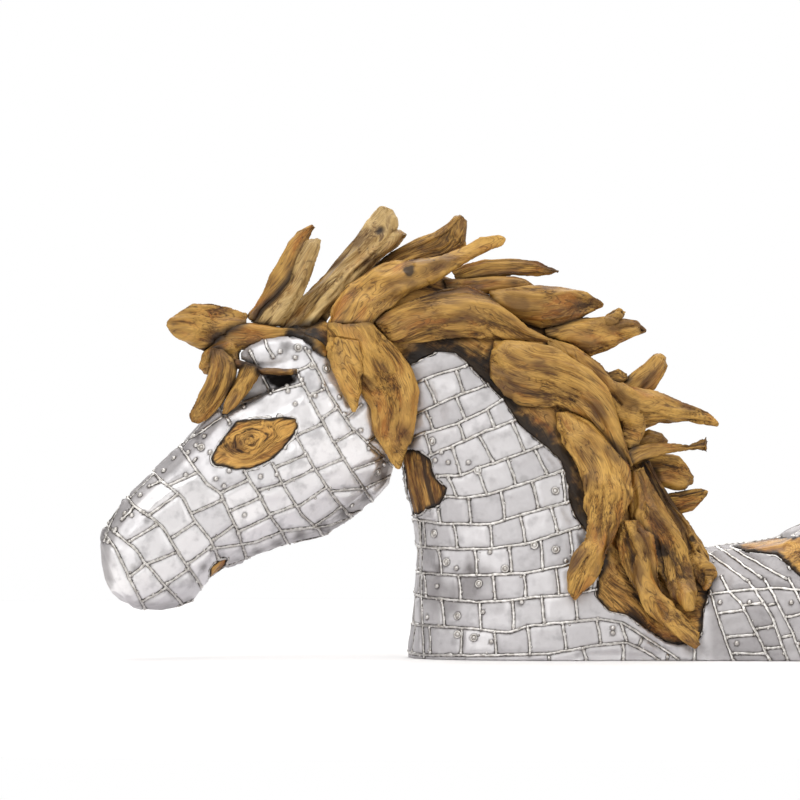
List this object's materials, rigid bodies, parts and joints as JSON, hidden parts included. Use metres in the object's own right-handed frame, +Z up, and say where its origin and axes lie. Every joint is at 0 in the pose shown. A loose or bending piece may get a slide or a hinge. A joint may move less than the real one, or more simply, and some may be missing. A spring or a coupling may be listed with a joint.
{
  "type": "horse head bust sculpture",
  "caption": "Bust of a running horse: a skin of welded steel plates over carved wood, with a swept-back mane of driftwood, cut flat below.",
  "frame": {"origin": "middle of the bounding box's footprint, on the flat cut that the bust stands on", "axes": "-X the way the horse faces, +Z up, -Y its left side, toward which the muzzle is turned"},
  "size_m": [1.285, 0.391, 0.7942],
  "materials": {
    "welded_steel": "polished sheet plates, hammered and weld-seamed",
    "carved_core": "carved wood, charred at the edges",
    "driftwood": "golden weathered driftwood with dark stains",
    "pale_driftwood": "pale split driftwood, open grain"
  },
  "bodies": {
    "root": {"steel_skin": "welded_steel", "mane_bed": "carved_core", "eye_left": "carved_core", "eye_right": "carved_core", "mouth_left": "carved_core", "mouth_right": "carved_core", "throat_left": "carved_core", "throat_right": "carved_core", "saddle_left": "carved_core", "saddle_right": "carved_core", "forelock_leaf": "driftwood", "forelock_brow": "driftwood", "forelock_hook": "driftwood", "forelock_small": "driftwood", "spike_front": "pale_driftwood", "spike_rear": "driftwood", "crest_pole": "pale_driftwood", "crest_leaf": "driftwood", "crest_gnarl": "driftwood", "crest_blade": "driftwood", "crest_rib": "driftwood", "cheek_fork": "driftwood", "nape_leaf": "driftwood", "nape_knot": "driftwood", "nape_fork": "driftwood", "shoulder_plank": "driftwood", "back_arm": "driftwood", "back_twig": "driftwood", "back_root": "driftwood", "back_chunk": "driftwood", "back_chip": "driftwood", "back_stub": "driftwood", "back_knob": "driftwood", "shin": "driftwood", "wither_slab": "driftwood", "wither_strip": "driftwood", "wither_tongue": "driftwood", "far_shin": "driftwood", "far_cheek": "driftwood", "far_nape": "driftwood", "far_plank": "driftwood", "far_tongue": "driftwood", "far_slab": "driftwood", "far_crest": "driftwood", "far_arm": "driftwood"}
  },
  "joints": []
}
